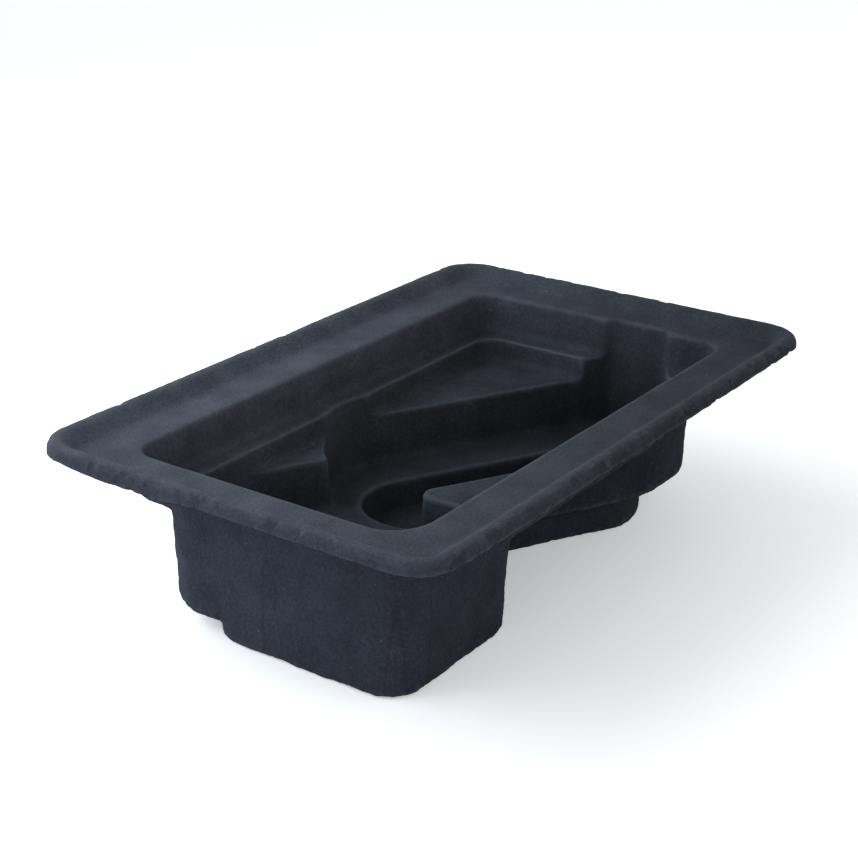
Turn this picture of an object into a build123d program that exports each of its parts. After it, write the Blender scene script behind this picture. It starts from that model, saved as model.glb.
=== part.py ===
from build123d import *
import os
from math import asin, atan2, cos, degrees, radians, sin, tan

# A moulded pulp tray: one sheet of pulp pressed into a rim, two ledges, a deep pocket and a slanted channel.
# Millimetres. The tray stands on its deep floor at z = 0, centred under its rim, with X along its length.
# It is drawn upside down, from the rim's flat land upward, so that depths are heights, and turned over at the end.
# Outlines are drawn at the land, and every wall leans inward from there by the draft.

# Sheet
wall = 3.0
draft_deg = 3.5

# Opening
opening_length = 262.0
opening_width = 142.0
opening_corner = 11.0
near_corner = 18.0
lip_radius = 2.0
under_rim_radius = 5.0

# Flat land round the opening
end_land = 14.6
side_land = 18.6
land_corner = 1.5

# Raised bead round the land
bead_height = 7.2
bead_slope_deg = 46.0
bead_lean_deg = 7.0
bead_toe_radius = 3.0
bead_crest_inner_radius = 2.0
bead_edge_inner_radius = 0.2
bead_flat = 0.3
toe_run_share = 0.48

# Depths below the land, on the inside of the sheet
ledge_depth = 19.0
shelf_depth = 30.2
step_depth = 54.8
corner_floor_depth = 61.0
floor_depth = 71.5

# Edges of the floors: bevelled inside, bevelled outside under the ledges, rounded where the tray stands
floor_bevel = 2.0
ledge_bevel = 3.5
floor_round = 5.0

# Ledge along the back and the far end
ledge_width = 10.0
ledge_back_corner = 12.0
ledge_near_corner = 26.0
ledge_far_corner = 29.0

# Pocket at the near end
pocket_length = 89.6
pocket_inner_corner = 22.0
pocket_crown_start = 48.3
pocket_crown_radius = 71.5
pocket_crown_deg = 45.0
pocket_low_corner = 38.0
pocket_floor_width = 96.0
pocket_floor_corner = 9.0

# Slanted channel, from the pocket to the far end
channel_width = 90.0
channel_overlap = 3.2
channel_bulge = 2.9
channel_front_run = 51.4
channel_back_corner = 13.0
channel_bend = 42.0
island_nose = 4.4
cusp_radius = 1.5

# Slot in the channel's floor
slot_width = 61.5
slot_shift = 9.3
slot_lead = 2.4
slot_end_gap = 53.7

# Shallow relief in the far wall
relief_depth = 2.8
relief_gap = 31.6
relief_width = 31.6
relief_flare_deg = 36.0
relief_corner = 7.0

# Walls and ledges, at the land
near_x = -opening_length / 2
far_x = opening_length / 2
front_y = -opening_width / 2
back_y = opening_width / 2
ledge_x = far_x - ledge_width
ledge_y = back_y - ledge_width
pocket_x = near_x + pocket_length

# Relief
relief_front_y = front_y + relief_gap
relief_back_y = relief_front_y + relief_width
relief_slope = tan(radians(relief_flare_deg))

# Channel: a round end in the pocket, and a front edge that leaves it as a tangent for the front wall
channel_radius = channel_width / 2
channel_centre = Vector(pocket_x - channel_overlap + channel_radius, ledge_y + channel_bulge - channel_radius)
channel_front_end = Vector(ledge_x - channel_front_run, front_y)
channel_front = channel_front_end - channel_centre
channel_slant = -atan2(channel_front.Y, channel_front.X) - asin(channel_radius / channel_front.length)
channel_slant_deg = degrees(channel_slant)
along = Vector(cos(channel_slant), -sin(channel_slant))
across = Vector(sin(channel_slant), cos(channel_slant))
channel_run = (ledge_x - channel_centre.X) / along.X


def rounded(outline, corners):
    """Rounds the named corners of an outline, each given as (x, y, radius)."""
    for x, y, radius in corners:
        corner = outline.vertices().sort_by_distance((x, y, 0))[0]
        outline = fillet(corner, radius)
    return outline


def box_outline(x0, x1, y0, y1, near_front, far_front, far_back, near_back):
    """A rectangle with a radius of its own at each corner."""
    face = make_face(Polyline((x0, y0), (x1, y0), (x1, y1), (x0, y1), close=True))
    return rounded(face, [(x0, y0, near_front), (x1, y0, far_front), (x1, y1, far_back), (x0, y1, near_back)])


def relief_outline():
    """The flared relief that lets the far wall bulge."""
    tip_x = far_x + relief_depth
    root_x = ledge_x - ledge_width
    flare = (tip_x - root_x) * relief_slope
    tips = [(tip_x, relief_front_y), (tip_x, relief_back_y)]
    roots = [(root_x, relief_back_y + flare), (root_x, relief_front_y - flare)]
    face = make_face(Polyline(*tips, *roots, close=True))
    return rounded(face, [(*tip, relief_corner) for tip in tips])


def mouth_outline():
    """The mouth of the tray, with the relief's bulge blended into its far side."""
    mouth = box_outline(near_x, far_x, front_y, back_y, near_corner, opening_corner, opening_corner, opening_corner)
    bulge = relief_depth * relief_slope
    blends = [(far_x, relief_back_y + bulge, relief_corner), (far_x, relief_front_y - bulge, relief_corner)]
    return rounded(mouth + relief_outline(), blends)


def ledge_outline():
    """The space inside the ledge, which runs along the back and the far end."""
    return box_outline(
        near_x, ledge_x, front_y, ledge_y, near_corner, ledge_far_corner, ledge_back_corner, ledge_near_corner
    )


def pocket_outline():
    """The upper part of the near pocket, with a crowned back that runs into the channel."""
    crown_centre = Vector(near_x + pocket_crown_start, ledge_y - pocket_crown_radius)
    crown = CenterArc(crown_centre, pocket_crown_radius, 90 - pocket_crown_deg, pocket_crown_deg)
    sides = Polyline(
        crown @ 1, (near_x, ledge_y), (near_x, front_y), (pocket_x, front_y), (pocket_x, channel_centre.Y), crown @ 0
    )
    corners = [
        (near_x, ledge_y, ledge_near_corner),
        (near_x, front_y, near_corner),
        (pocket_x, front_y, pocket_inner_corner),
    ]
    return rounded(make_face(crown + sides), corners)


def channel_outline():
    """The slanted channel, with a round near end and a far end squared off by the tray's walls."""
    start = CenterArc(channel_centre, channel_radius, 90 - channel_slant_deg, 90 + channel_slant_deg)
    back_end = (start @ 0) + along * ((ledge_x - (start @ 0).X) / along.X)
    nose = channel_front_end + along * (((start @ 1).X - channel_front_end.X) / along.X)
    sides = Polyline(start @ 1, nose, channel_front_end, (ledge_x, front_y), back_end, start @ 0)
    corners = [
        (channel_front_end.X, channel_front_end.Y, channel_bend),
        (ledge_x, front_y, ledge_far_corner),
        (back_end.X, back_end.Y, channel_back_corner),
    ]
    return rounded(make_face(start + sides), corners)


def slot_outline():
    """The round-ended slot in the channel's floor."""
    run = channel_run - slot_end_gap
    middle = channel_centre + along * ((run - slot_lead) / 2) - across * slot_shift
    slot = SlotCenterToCenter(run + slot_lead, slot_width)
    return Pos(middle.X, middle.Y) * Rot(0, 0, -channel_slant_deg) * slot


def low_pocket_outline():
    """The pocket below the channel's floor."""
    return box_outline(
        near_x, pocket_x, front_y, ledge_y, near_corner, pocket_inner_corner, pocket_low_corner, ledge_near_corner
    )


def pocket_floor_outline():
    """The deepest part of the pocket, short of its back corner."""
    floor_y = front_y + pocket_floor_width
    return box_outline(
        near_x, pocket_x, front_y, floor_y, near_corner, pocket_inner_corner, pocket_floor_corner, pocket_floor_corner
    )


def grown(outline, thickness):
    """An outline moved outward by the sheet's thickness."""
    return offset(outline, amount=thickness, kind=Kind.INTERSECTION) if thickness else outline


def shelf_outline(thickness, nose_radius):
    """Pocket and channel together, with the island's nose and the cusp behind it rounded."""
    pocket = grown(pocket_outline(), thickness)
    channel = grown(channel_outline(), thickness)
    both = pocket + channel
    known = [*pocket.vertices(), *channel.vertices()]
    crossings = [v for v in both.vertices() if min(v.distance_to(k) for k in known) > cusp_radius]
    nose, cusp = sorted(crossings, key=lambda v: v.Y)
    return rounded(both, [(nose.X, nose.Y, nose_radius), (cusp.X, cusp.Y, cusp_radius)])


def sunk(outline, depth):
    """Sinks an outline from the land, with drafted walls."""
    return extrude(outline, amount=depth, taper=draft_deg)


def floor_edges(block):
    """The edges of a sunk block's floor."""
    return block.faces().sort_by(Axis.Z)[-1].edges()


def ledge_levels(thickness, nose_radius):
    """Outline and depth of each ledge and of the channel's floor, moved outward by the sheet's thickness."""
    levels = [(mouth_outline(), ledge_depth), (ledge_outline(), shelf_depth), (relief_outline(), step_depth)]
    shelf = (shelf_outline(thickness, nose_radius), step_depth + thickness)
    return [shelf] + [(grown(outline, thickness), depth + thickness) for outline, depth in levels]


def floor_levels(thickness):
    """Outline and depth of the pocket's two floors and of the slot, moved outward by the sheet's thickness."""
    levels = [
        (low_pocket_outline(), corner_floor_depth),
        (pocket_floor_outline(), floor_depth),
        (slot_outline(), floor_depth),
    ]
    return [(grown(outline, thickness), depth + thickness) for outline, depth in levels]


def inside():
    """The space inside the tray."""
    space = Part()
    for outline, depth in ledge_levels(0, island_nose) + floor_levels(0):
        space += chamfer(floor_edges(sunk(outline, depth)), floor_bevel)
    return space


def outside():
    """The tray's outer form below the rim."""
    form = Part()
    for outline, depth in ledge_levels(wall, cusp_radius):
        form += chamfer(floor_edges(sunk(outline, depth)), ledge_bevel)
    for outline, depth in floor_levels(wall):
        form += fillet(floor_edges(sunk(outline, depth)), floor_round)
    return form


def bead_section():
    """The bead's section, outward from the land's edge: rounded on top, and one sheet thick."""
    crest_radius = wall + bead_crest_inner_radius
    edge_radius = wall + bead_edge_inner_radius
    lean = radians(bead_lean_deg)
    crest_share = tan(radians(bead_slope_deg / 2))
    edge_share = tan(radians((90 - bead_lean_deg) / 2))
    toe = bead_toe_radius * toe_run_share
    slope_end = toe + bead_height / tan(radians(bead_slope_deg))
    crown_end = slope_end + crest_radius * crest_share + bead_flat + edge_radius * edge_share
    foot = crown_end + bead_height * tan(lean)
    top = FilletPolyline(
        (0, 0),
        (toe, 0),
        (slope_end, bead_height),
        (crown_end, bead_height),
        (foot, 0),
        radius=[bead_toe_radius, crest_radius, edge_radius],
    )
    under = Polyline(
        top @ 1,
        (foot - wall * cos(lean), -wall * sin(lean)),
        (crown_end - wall * edge_share, bead_height - wall),
        (slope_end + wall * crest_share, bead_height - wall),
        (toe + wall * crest_share, -wall),
        (0, -wall),
        top @ 0,
    )
    return make_face(top + under)


def rim():
    """The flat land and the raised bead round it."""
    land_edge = RectangleRounded(opening_length + 2 * end_land, opening_width + 2 * side_land, land_corner)
    path = land_edge.wire()
    heading = path % 0
    start = Plane(origin=path @ 0, x_dir=heading.cross(Vector(0, 0, 1)), z_dir=heading)
    return extrude(land_edge, amount=wall) + sweep(start * bead_section(), path=path)


def mouth_edges(shape, height):
    """The edges of the mouth at a height, as distinct from those of the rim."""
    level = shape.edges().filter_by_position(Axis.Z, height, height)
    return level.filter_by(
        lambda e: abs(e.center().X) < far_x + end_land / 2 and abs(e.center().Y) < back_y + side_land / 2
    )


# The rim and the outside of the walls, blended under the rim
body = rim() + outside()
body = fillet(mouth_edges(body, wall), under_rim_radius)

# The inside, and the rounded lip of the mouth
tray = body - inside()
tray = fillet(mouth_edges(tray, 0), lip_radius)

# Turned over to stand on its deep floor
tray = Pos(0, 0, floor_depth + wall) * mirror(tray, about=Plane.XY)

os.makedirs("parts", exist_ok=True)
export_step(tray, "parts/pulp_tray.step")
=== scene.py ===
from math import cos, radians, sin

import bpy
import numpy as np
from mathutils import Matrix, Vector, noise
from mathutils.bvhtree import BVHTree


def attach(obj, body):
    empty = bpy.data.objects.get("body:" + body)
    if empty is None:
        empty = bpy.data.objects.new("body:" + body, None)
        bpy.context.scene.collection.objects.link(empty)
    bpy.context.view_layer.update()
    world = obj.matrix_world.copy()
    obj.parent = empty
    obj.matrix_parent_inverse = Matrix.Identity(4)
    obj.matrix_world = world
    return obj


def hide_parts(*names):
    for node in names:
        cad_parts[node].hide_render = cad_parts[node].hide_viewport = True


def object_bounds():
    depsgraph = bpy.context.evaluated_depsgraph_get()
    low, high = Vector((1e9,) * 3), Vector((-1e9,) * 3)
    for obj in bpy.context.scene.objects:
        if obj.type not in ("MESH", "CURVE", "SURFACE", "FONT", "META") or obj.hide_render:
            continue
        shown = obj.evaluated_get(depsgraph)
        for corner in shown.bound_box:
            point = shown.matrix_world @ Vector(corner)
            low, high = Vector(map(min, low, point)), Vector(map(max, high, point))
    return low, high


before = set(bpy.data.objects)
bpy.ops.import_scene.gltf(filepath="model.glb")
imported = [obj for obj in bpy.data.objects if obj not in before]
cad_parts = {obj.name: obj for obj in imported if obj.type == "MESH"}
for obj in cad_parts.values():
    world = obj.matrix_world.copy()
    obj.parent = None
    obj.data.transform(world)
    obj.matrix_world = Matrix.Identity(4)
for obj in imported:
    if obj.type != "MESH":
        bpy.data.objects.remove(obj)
cad_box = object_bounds()

# Camera, as the photograph was taken: pixels, degrees and metres
IMAGE_PX = 858
FOCAL_PX = 1750.0
SENSOR = 36.0
YAW_DEG = 35.7
PITCH_DEG = 22.55
CAMERA_X, CAMERA_Y, CAMERA_OVER_LAND = -0.607, -0.4247, 0.29

# Mesh of the sheet: lengths are millimetres, and a fade is a place and a width
METRE = 1000
VOXEL = 1.25
WELD = 0.01
RAY_START = 0.4
MOST_TRIANGLES = 190000
SOFTENING = 0.5
WEAR_AND_HIGHLIGHT_ROUNDS = 3
SEED = Vector((3.7, 11.3, 5.9))

# Heights: the solid's land, the sheet's land and the bead's crest
LAND_CAD, LAND = 74.5, 75.5
TOP = round(cad_box[1][2] * METRE, 1)

# Standing edges: the solid's round, the sheet's round, and the height where both agree
FLOOR_ROUND_CAD, FLOOR_ROUND, ROUND_FADE = 5.0, 3.0, 28.0

# Outer walls: how far they lean, and how much further the pocket end's foot goes
LEAN_X, LEAN_Y = -1.3, 1.0
LEAN_HEIGHT = (LAND_CAD - 4, 12)
FOOT_X = -1.3
FOOT_HEIGHT = (45, 45)
FOOT_END = (-60, 20)

# Pocket's outside: the step that is set over, and the shallow corner that is lowered
POCKET_END = (-36, 6)
STEP_MOVE = 4.0
STEP_Y, STEP_WIDTH = 28, 9
STEP_HEIGHT = (14, 4)
CORNER_DROP = 2.0
CORNER_SIDE = (24, 6)
CORNER_TOP = (30, 18)
CORNER_FOOT = (3, 4)

# Island: a place on its long edge, the direction across that edge, and the edge's move
ISLAND_X, ISLAND_Y = 69.6, -71.0
ACROSS_X, ACROSS_Y = 0.4848, 0.8746
ISLAND_MOVE = -3.4
ISLAND_OFF, ISLAND_WIDTH = 1, 8
ISLAND_FOOT, ISLAND_TOP = (12, 8), (50, 5)
ISLAND_NOSE, ISLAND_FRONT = (-62, 12), (-66, 10)

# Rim: where its round corners start, and how far they are drawn in
ROUND_X, ROUND_Y = 138, 82
ROUND_PULL = 1.35
ROUND_REACH = (0, 24)

# Bead: its foot, its outer face and its lip, which lifts, sags at one end and is chipped
BEAD_X, BEAD_Y = 147, 91
BEAD_FADE, LIP_FADE = (0, 3), (8, 3)
FACE_X, FACE_Y = 151, 95
FACE_FADE = (0.3, 0.5)
FACE_SHARE = 0.75
LIP_HEIGHT = (79, 4)
LIP_LIFT, LIP_WAVE = 0.5, 0.5
SAG = 2.2
SAG_END, SAG_START, SAG_STOP = (-145, 5), (5, 30), (88, 25)
CHIP_SIZE, CHIP_OCTAVES, CHIP_DEPTH = 8, 3, 0.45
CHIP_FADE = (0.3, 0.3)

# Lumps of the pulp: size, octaves, depth inside, more of it outside, more of it on the bead
BROAD_LUMPS = (22, 2, 0.12, 0.30, 0.0)
MIDDLE_LUMPS = (6, 3, 0.05, 0.26, 0.09)
FINE_LUMPS = (2.6, 2, 0.03, 0.20, 0.03)

# Tones of the pulp, linear; the worn tone is wear with a painted highlight, and the deep tone is painted
# crease shade
PULP_INSIDE = (0.041, 0.045, 0.056, 1)
PULP_OUTSIDE = (0.0225, 0.0255, 0.0345, 1)
PULP_WEAR_AND_HIGHLIGHT = (0.070, 0.079, 0.096, 1)
PULP_FLECK = (0.16, 0.17, 0.18, 1)
PAINTED_CREASE_SHADE_TONE = (0.011, 0.013, 0.018, 1)
PULP_ROUGHNESS, PULP_SPECULAR = 0.88, 0.08

# Painted light and shade: a direction across the tray, paler towards the light, and ranges in metres with the
# strengths at their ends
PAINTED_SHADING_X, PAINTED_SHADING_Y = -0.58, 0.81
PAINTED_SHADING_ACROSS = (-0.09, 0.08, 0.62, 1.14)
PAINTED_SHADING_DEPTH = (0.03, 0.073, 0.62, 1.0)

# Textures of the pulp, the ranges in which they show, and what they do to its tone; the crease lines are
# painted shade, and the worn edges carry a painted highlight
MOTTLE = {"Scale": 55.0, "Detail": 5.0, "Roughness": 0.6}
GRAIN = {"Scale": 900.0, "Detail": 3.0, "Roughness": 0.6}
FIBRE = {"Scale": 420.0, "Detail": 2.0, "Roughness": 0.5, "Distortion": 1.5}
STREAK = {"Scale": 16.0, "Detail": 2.0}
WEAVE = {"Scale": 1500.0, "Detail": 3.0, "Roughness": 0.65}
MOTTLE_RANGE, MOTTLE_DARK, MOTTLE_PALE = (0.32, 0.68), 0.78, 1.2
SPECKLE_RANGE, SPECKLE_PALE = (0.50, 0.72), 1.35
PIT_RANGE, PIT_DARK = (0.48, 0.30), 0.7
STREAK_STRETCH, STREAK_MIDDLE = (1, 1, 0.05), 0.5
CREASE_SHADE_RANGE = (0.0, 0.003, 0.45, 0.0)
WEAR_AND_HIGHLIGHT_RANGE = (0.12, 0.5, 0.0, 0.45)
FLECK_RANGE = (0.72, 0.80, 0.0, 0.5)
WEAVE_STRENGTH, WEAVE_DEPTH = 0.35, 0.0004
FUZZ_RANGE, FUZZ_DEPTH = (0.0, 1.0, 0.15, 0.75), 0.0008

# Floor and light, in metres
FLOOR_HALF = 6
FLOOR_TONE = (0.95, 0.95, 0.955, 1)
FLOOR_GLOW = 0.30
WHITE = (1, 1, 1, 1)
SKY_TONE = (0.97, 0.985, 1, 1)
SKY_RANGE = (0.15, 0.9, 1.6, 0.32)
LIGHT_LENGTH, LIGHT_WIDTH = 0.9, 0.5
LIGHT_ENERGY = 5.0
LIGHT_TONE = (0.80, 0.90, 1.0)
LIGHT_PLACE, LIGHT_AIM = (-0.17, 0.40, 0.42), (0, 0, 0.05)


def make_camera():
    """The photograph's camera, level, with its lens from the focal length in pixels."""
    data = bpy.data.cameras.new("camera")
    data.sensor_width = SENSOR
    data.lens = FOCAL_PX / IMAGE_PX * SENSOR
    camera = bpy.data.objects.new("camera", data)
    bpy.context.scene.collection.objects.link(camera)
    yaw, pitch = radians(YAW_DEG), radians(PITCH_DEG)
    forward = Vector((cos(yaw) * cos(pitch), sin(yaw) * cos(pitch), -sin(pitch)))
    camera.location = (CAMERA_X, CAMERA_Y, LAND / METRE + CAMERA_OVER_LAND)
    camera.rotation_euler = forward.to_track_quat("-Z", "Y").to_euler()
    bpy.context.scene.camera = camera


def smooth_step(value):
    """0 below 0, 1 above 1 and smooth between."""
    t = np.clip(value, 0, 1)
    return t * t * (3 - 2 * t)


def rising(value, start, width):
    """0 up to the start, and 1 from the width past it."""
    return smooth_step((value - start) / width)


def falling(value, end, width):
    """1 up to the width before the end, and 0 past the end."""
    return smooth_step((end - value) / width)


def bell(value, width):
    """1 at 0, falling to nothing past about twice the width."""
    return np.exp(-((value / width) ** 2))


def wave(points, size, octaves, shift):
    """Smooth noise about -1 to 1, one value a point, with lumps of a size."""
    at = SEED * shift
    return np.array([noise.fractal(Vector(p) / size + at, 1.0, 2.0, octaves) for p in points])


def coordinates(mesh):
    """A mesh's points in millimetres, its normals and its edges."""
    count = len(mesh.vertices)
    points, normals = np.empty(count * 3), np.empty(count * 3)
    mesh.vertices.foreach_get("co", points)
    mesh.vertex_normals.foreach_get("vector", normals)
    edges = np.empty(len(mesh.edges) * 2, dtype=int)
    mesh.edges.foreach_get("vertices", edges)
    return points.reshape(-1, 3) * METRE, normals.reshape(-1, 3), edges.reshape(-1, 2)


def set_points(mesh, points):
    """Writes points given in millimetres."""
    mesh.vertices.foreach_set("co", (points / METRE).ravel())
    mesh.update()


def set_value(mesh, name, values):
    """A value a point, for the material."""
    layer = mesh.attributes.new(name, "FLOAT", "POINT")
    layer.data.foreach_set("value", values.astype(np.float32))


def neighbour_mean(values, edges):
    """The mean of each point's neighbours."""
    a, b = edges.T
    count = len(values)
    weight = np.bincount(a, minlength=count) + np.bincount(b, minlength=count)
    sums = [np.bincount(a, v[b], count) + np.bincount(b, v[a], count) for v in values.T]
    return np.stack(sums, 1) / np.maximum(weight, 1)[:, None]


def clamped(points):
    """Points kept inside the box of the solid."""
    low, high = (np.array(corner) * METRE for corner in cad_box)
    return np.clip(points, low, high)


def remade(obj, kind, **settings):
    """The object's mesh after one modifier."""
    modifier = obj.modifiers.new(kind, kind)
    for name, value in settings.items():
        setattr(modifier, name, value)
    depsgraph = bpy.context.evaluated_depsgraph_get()
    mesh = bpy.data.meshes.new_from_object(obj.evaluated_get(depsgraph))
    obj.modifiers.clear()
    obj.data = mesh
    return mesh


def under_side(mesh):
    """1 at points with the sheet above them, on the tray's outside, and 0 on its inside and rim."""
    tree = BVHTree.FromPolygons([v.co for v in mesh.vertices], [p.vertices for p in mesh.polygons])
    up = Vector((0, 0, 1))
    covered = []
    for vertex, normal in zip(mesh.vertices, mesh.vertex_normals):
        start = vertex.co + normal.vector * (RAY_START / METRE)
        covered.append(tree.ray_cast(start, up)[0] is not None)
    return np.array(covered, dtype=float)


def crisp_foot(z):
    """Heights with the solid's standing edge drawn to the sheet's smaller round."""
    low = np.clip(z, 0, FLOOR_ROUND_CAD)
    inset = FLOOR_ROUND_CAD - np.sqrt(np.maximum(FLOOR_ROUND_CAD**2 - (FLOOR_ROUND_CAD - low) ** 2, 0))
    reach = np.clip(FLOOR_ROUND - inset, 0, FLOOR_ROUND)
    crisp = FLOOR_ROUND - np.sqrt(np.maximum(FLOOR_ROUND**2 - reach**2, 0))
    above = (z - FLOOR_ROUND_CAD) * (ROUND_FADE - FLOOR_ROUND) / (ROUND_FADE - FLOOR_ROUND_CAD)
    return np.where(z < FLOOR_ROUND_CAD, crisp, np.where(z < ROUND_FADE, FLOOR_ROUND + above, z))


def leaned(x, y, z, under):
    """Outer walls set over, and the foot at the pocket's end a little further."""
    lean = under * falling(z, *LEAN_HEIGHT)
    x = x + LEAN_X * lean
    y = y + LEAN_Y * lean
    x = x + FOOT_X * under * falling(z, *FOOT_HEIGHT) * falling(x, *FOOT_END)
    return x, y


def pocket_eased(x, y, z, under):
    """The pocket's outer step set over, and its shallow corner lowered."""
    pocket = under * falling(x, *POCKET_END)
    y = y + STEP_MOVE * pocket * bell(y - STEP_Y, STEP_WIDTH) * falling(z, *STEP_HEIGHT)
    z = z - CORNER_DROP * pocket * rising(y, *CORNER_SIDE) * falling(z, *CORNER_TOP) * rising(z, *CORNER_FOOT)
    return y, z


def island_edge(x, y, z):
    """1 along the island's long edge, fading away from it and at its ends."""
    off = (x - ISLAND_X) * ACROSS_X + (y - ISLAND_Y) * ACROSS_Y
    edge = bell(off - ISLAND_OFF, ISLAND_WIDTH) * rising(z, *ISLAND_FOOT) * falling(z, *ISLAND_TOP)
    return edge * rising(x, *ISLAND_NOSE) * rising(y, *ISLAND_FRONT)


def corners_drawn_in(x, y):
    """The rim's corners, a little rounder than the solid's."""
    u, v = np.abs(x) - ROUND_X, np.abs(y) - ROUND_Y
    diagonal = np.where((u > 0) & (v > 0), 2 * u * v / np.maximum(u * u + v * v, 1), 0) ** 2
    pull = ROUND_PULL * diagonal * rising(np.hypot(u, v), *ROUND_REACH)
    return x - np.sign(x) * pull, y - np.sign(y) * pull


def land_raised(z):
    """Heights stretched up to the sheet's land, and the bead above it shortened."""
    bead = LAND + (z - LAND_CAD) * (TOP - LAND) / (TOP - LAND_CAD)
    return np.where(z < LAND_CAD, z * LAND / LAND_CAD, bead)


def settled(points, under):
    """The sheet as it came off the mould: crisp where it stands, a little off square, soft at the corners."""
    x, y, z = points.T.copy()
    z = np.where(under > 0.5, crisp_foot(z), z)
    x, y = leaned(x, y, z, under)
    y, z = pocket_eased(x, y, z, under)
    y = y + ISLAND_MOVE * island_edge(x, y, z)
    x, y = corners_drawn_in(x, y)
    return np.stack([x, y, land_raised(z)], 1)


def roughened(points, normals, under):
    """Fibrous lumps outside, a smooth press inside, and a worn, chipped bead."""
    x, y, z = points.T
    out = np.maximum(np.abs(x) - BEAD_X, np.abs(y) - BEAD_Y)
    bead = rising(out, *BEAD_FADE)
    lip = rising(out, *LIP_FADE)
    rough = under * (1 - bead)
    amount = np.zeros(len(points))
    kinds = (BROAD_LUMPS, MIDDLE_LUMPS, FINE_LUMPS)
    for shift, (size, octaves, inside, outside, on_bead) in enumerate(kinds, 1):
        amount = amount + wave(points, size, octaves, shift) * (inside + outside * rough + on_bead * bead)
    chips = wave(points, CHIP_SIZE, CHIP_OCTAVES, len(kinds) + 1)
    amount = amount - lip * CHIP_DEPTH * rising(chips, *CHIP_FADE)
    moved = points + normals * amount[:, None]
    sag = SAG * falling(x, *SAG_END) * rising(y, *SAG_START) * falling(y, *SAG_STOP)
    moved[:, 2] += lip * falling(z, *LIP_HEIGHT) * (LIP_LIFT + LIP_WAVE * chips - sag)
    return moved


def rim_face(points, normals):
    """1 on the bead's outer face, which is as rough as the walls, and 0 on its crest."""
    x, y, _ = points.T
    out_x, out_y = np.abs(x) - FACE_X, np.abs(y) - FACE_Y
    facing = np.where(out_x > out_y, normals[:, 0] * np.sign(x), normals[:, 1] * np.sign(y))
    return rising(facing, *FACE_FADE) * (np.maximum(out_x, out_y) > 0)


def wear_and_highlight(points, normals, edges):
    """How far each point stands out of the sheet round it: the convex edges, which get wear and a painted
    highlight.
    """
    soft = points
    for _ in range(WEAR_AND_HIGHLIGHT_ROUNDS):
        soft = neighbour_mean(soft, edges)
    return np.einsum("ij,ij->i", points - soft, normals)


def shape_sheet(tray):
    """Softens, settles and roughens the solid's form, and thins the mesh inside the solid's box."""
    remade(tray, "WELD", merge_threshold=WELD / METRE)
    mesh = remade(tray, "REMESH", mode="VOXEL", voxel_size=VOXEL / METRE)
    points, _, edges = coordinates(mesh)
    under = under_side(mesh)
    softened = points + SOFTENING * (neighbour_mean(points, edges) - points)
    set_points(mesh, settled(softened, under))
    points, normals, _ = coordinates(mesh)
    set_points(mesh, clamped(roughened(points, normals, under)))
    count = sum(len(p.vertices) - 2 for p in mesh.polygons)
    mesh = remade(tray, "DECIMATE", ratio=min(1.0, MOST_TRIANGLES / count))
    mesh.polygons.foreach_set("use_smooth", [True] * len(mesh.polygons))
    set_points(mesh, clamped(coordinates(mesh)[0]))
    return mesh


def make_tray():
    """The pulp sheet, from the solid's own mesh, with the values that its material reads."""
    tray = bpy.data.objects.new("tray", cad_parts["pulp_tray"].data.copy())
    bpy.context.scene.collection.objects.link(tray)
    mesh = shape_sheet(tray)
    points, normals, edges = coordinates(mesh)
    set_value(mesh, "under", np.maximum(under_side(mesh), FACE_SHARE * rim_face(points, normals)))
    # convex edges, which the material makes paler: wear and a painted highlight
    set_value(mesh, "wear_and_highlight", wear_and_highlight(points, normals, edges))
    mesh.materials.clear()
    mesh.materials.append(pulp_material())
    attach(tray, "root")
    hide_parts("pulp_tray")


def feed(tree, socket, value):
    """Gives a socket its value, or links another node's socket to it."""
    if isinstance(value, bpy.types.NodeSocket):
        tree.links.new(value, socket)
    else:
        socket.default_value = value


def node(tree, kind, **inputs):
    """A shader node with its inputs set, each a value or another node's socket."""
    made = tree.nodes.new(kind)
    for name, value in inputs.items():
        feed(tree, made.inputs[name.replace("_", " ")], value)
    return made


def blended(tree, factor, a, b):
    """A mix of two colours."""
    made = tree.nodes.new("ShaderNodeMix")
    made.data_type = "RGBA"
    for socket, value in ((made.inputs[0], factor), (made.inputs[6], a), (made.inputs[7], b)):
        feed(tree, socket, value)
    return made.outputs[2]


def computed(tree, operation, *values):
    """A sum, product or other step between values."""
    made = tree.nodes.new("ShaderNodeMath")
    made.operation = operation
    for socket, value in zip(made.inputs, values):
        feed(tree, socket, value)
    return made.outputs[0]


def ranged(tree, value, low, high, to_low=0.0, to_high=1.0):
    """A value moved from one range to another, and held there."""
    ends = {"From_Min": low, "From_Max": high, "To_Min": to_low, "To_Max": to_high}
    return node(tree, "ShaderNodeMapRange", Value=value, **ends).outputs[0]


def value_of(tree, name):
    """A value stored at the mesh's points."""
    made = tree.nodes.new("ShaderNodeAttribute")
    made.attribute_name = name
    return made.outputs["Fac"]


def toned(tree, colour, strength):
    """A colour made darker or paler."""
    return node(tree, "ShaderNodeHueSaturation", Color=colour, Value=strength).outputs[0]


def textured(tree, place, texture):
    """A noise of one of the named textures."""
    return node(tree, "ShaderNodeTexNoise", Vector=place, **texture).outputs[0]


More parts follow.
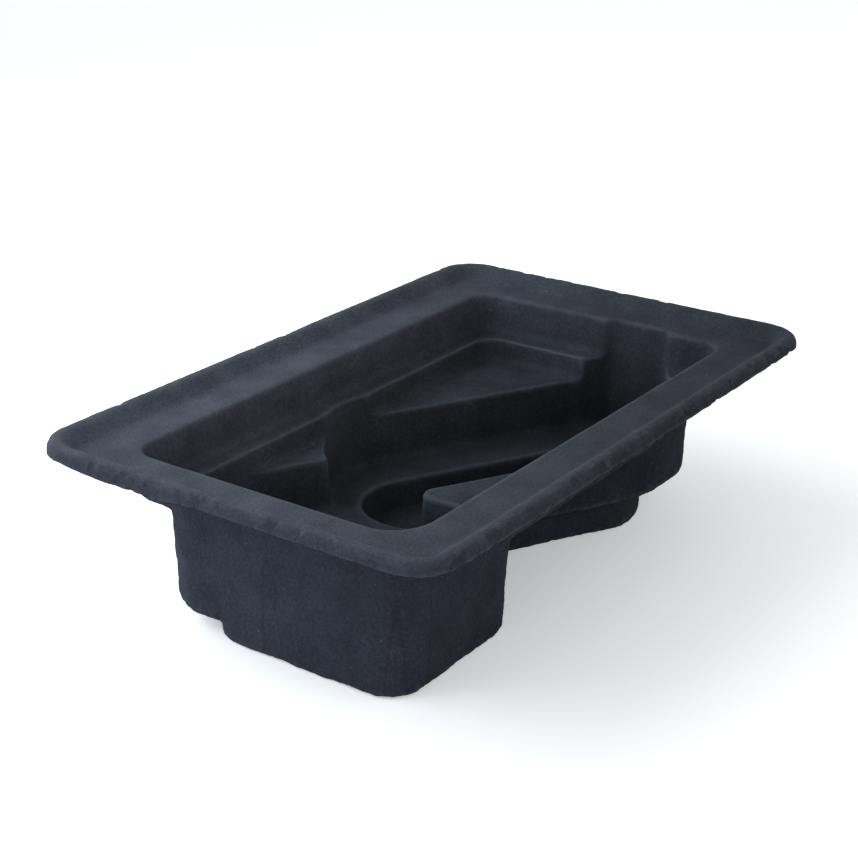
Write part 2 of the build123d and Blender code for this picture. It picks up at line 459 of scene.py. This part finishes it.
def painted_shading(tree, place, under):
    """Painted light and shade: paler at the pocket's back corner, nearest the light, darker across the tray
    away from it, and darker low in the hollows.
    """
    split = node(tree, "ShaderNodeSeparateXYZ", Vector=place)
    across = computed(tree, "MULTIPLY", split.outputs["X"], PAINTED_SHADING_X)
    across = computed(tree, "MULTIPLY_ADD", split.outputs["Y"], PAINTED_SHADING_Y, across)
    # painted light and shade across the tray: paler towards the light, darker away from it
    side = ranged(tree, across, *PAINTED_SHADING_ACROSS)
    # painted shade in the hollows: darker lower down inside, none on the outside
    hollow = computed(tree, "MAXIMUM", under, ranged(tree, split.outputs["Z"], *PAINTED_SHADING_DEPTH))
    return computed(tree, "MULTIPLY", side, hollow)


def mottled(tree, place, tone):
    """A tone with soft clouds, pale speckles and dark pits."""
    mottle = textured(tree, place, MOTTLE)
    grain = textured(tree, place, GRAIN)
    dark, pale = toned(tree, tone, MOTTLE_DARK), toned(tree, tone, MOTTLE_PALE)
    tone = blended(tree, ranged(tree, mottle, *MOTTLE_RANGE), dark, pale)
    tone = blended(tree, ranged(tree, grain, *SPECKLE_RANGE), tone, toned(tree, tone, SPECKLE_PALE))
    return blended(tree, ranged(tree, grain, *PIT_RANGE), tone, toned(tree, tone, PIT_DARK))


def painted_crease_shade(tree, place, under):
    """Painted shade: thin dark upright lines on the outside, where creases would fall."""
    upright = node(tree, "ShaderNodeMapping", Vector=place, Scale=STREAK_STRETCH).outputs[0]
    streak = textured(tree, upright, STREAK)
    off = computed(tree, "ABSOLUTE", computed(tree, "SUBTRACT", streak, STREAK_MIDDLE))
    return computed(tree, "MULTIPLY", under, ranged(tree, off, *CREASE_SHADE_RANGE))


def fibrous(tree, place, fibre, under):
    """A fine weave everywhere, with fuzz that is stronger outside."""
    weave = textured(tree, place, WEAVE)
    bumps = node(tree, "ShaderNodeBump", Height=weave, Strength=WEAVE_STRENGTH, Distance=WEAVE_DEPTH)
    strength = ranged(tree, under, *FUZZ_RANGE)
    inputs = {"Height": fibre, "Normal": bumps.outputs[0], "Distance": FUZZ_DEPTH, "Strength": strength}
    return node(tree, "ShaderNodeBump", **inputs).outputs[0]


def pulp_material():
    """Dyed paper pulp: matte slate, mottled, with painted light and shade across it and in its hollows, paler
    worn edges that carry a painted highlight, dark upright lines of painted crease shade, and a few pale
    fibres.
    """
    material = bpy.data.materials.new("pulp")
    material.use_nodes = True
    tree = material.node_tree
    shader = tree.nodes["Principled BSDF"]
    place = tree.nodes.new("ShaderNodeTexCoord").outputs["Object"]
    under = value_of(tree, "under")
    fibre = textured(tree, place, FIBRE)
    tone = blended(tree, under, PULP_INSIDE, PULP_OUTSIDE)
    # painted light and shade: paler towards the light, darker away from it and low in the hollows
    tone = toned(tree, tone, painted_shading(tree, place, under))
    tone = mottled(tree, place, tone)
    # painted shade: dark crease lines on the outside
    tone = blended(tree, painted_crease_shade(tree, place, under), tone, PAINTED_CREASE_SHADE_TONE)
    # paler convex edges: wear with a painted highlight
    tone = blended(tree, ranged(tree, value_of(tree, "wear_and_highlight"), *WEAR_AND_HIGHLIGHT_RANGE), tone, PULP_WEAR_AND_HIGHLIGHT)
    tone = blended(tree, ranged(tree, fibre, *FLECK_RANGE), tone, PULP_FLECK)
    tree.links.new(tone, shader.inputs["Base Color"])
    shader.inputs["Roughness"].default_value = PULP_ROUGHNESS
    shader.inputs["Specular IOR Level"].default_value = PULP_SPECULAR
    tree.links.new(fibrous(tree, place, fibre, under), shader.inputs["Normal"])
    return material


def floor_material():
    """Matte and pale, with a glow that only the camera sees."""
    material = bpy.data.materials.new("floor")
    material.use_nodes = True
    tree = material.node_tree
    shader = tree.nodes["Principled BSDF"]
    shader.inputs["Base Color"].default_value = FLOOR_TONE
    shader.inputs["Roughness"].default_value = 1.0
    shader.inputs["Specular IOR Level"].default_value = 0.0
    shader.inputs["Emission Color"].default_value = WHITE
    seen = tree.nodes.new("ShaderNodeLightPath").outputs["Is Camera Ray"]
    glow = ranged(tree, seen, 0.0, 1.0, 0.0, FLOOR_GLOW)
    tree.links.new(glow, shader.inputs["Emission Strength"])
    return material


def make_floor():
    """A pale floor that shows white to the camera, with the tray's shadow on it."""
    mesh = bpy.data.meshes.new("floor")
    a, b = -FLOOR_HALF, FLOOR_HALF
    mesh.from_pydata([(a, a, 0), (b, a, 0), (b, b, 0), (a, b, 0)], [], [(0, 1, 2, 3)])
    floor = bpy.data.objects.new("floor", mesh)
    bpy.context.scene.collection.objects.link(floor)
    mesh.materials.append(floor_material())


def make_sky():
    """A pale world, bright round the horizon and dim overhead."""
    world = bpy.data.worlds.new("world")
    bpy.context.scene.world = world
    world.use_nodes = True
    tree = world.node_tree
    sky = tree.nodes["Background"]
    sky.inputs["Color"].default_value = SKY_TONE
    direction = tree.nodes.new("ShaderNodeTexCoord").outputs["Generated"]
    height = node(tree, "ShaderNodeSeparateXYZ", Vector=direction).outputs["Z"]
    tree.links.new(ranged(tree, height, *SKY_RANGE), sky.inputs["Strength"])


def make_light():
    """One broad soft light from the left and behind."""
    data = bpy.data.lights.new("window", "AREA")
    data.shape = "RECTANGLE"
    data.size, data.size_y = LIGHT_LENGTH, LIGHT_WIDTH
    data.energy = LIGHT_ENERGY
    data.color = LIGHT_TONE
    light = bpy.data.objects.new("window", data)
    light.location = LIGHT_PLACE
    aim = Vector(LIGHT_AIM) - light.location
    light.rotation_euler = aim.to_track_quat("-Z", "Y").to_euler()
    bpy.context.scene.collection.objects.link(light)


make_camera()
make_floor()
make_sky()
make_light()
make_tray()
bpy.context.scene.view_settings.view_transform = "Standard"
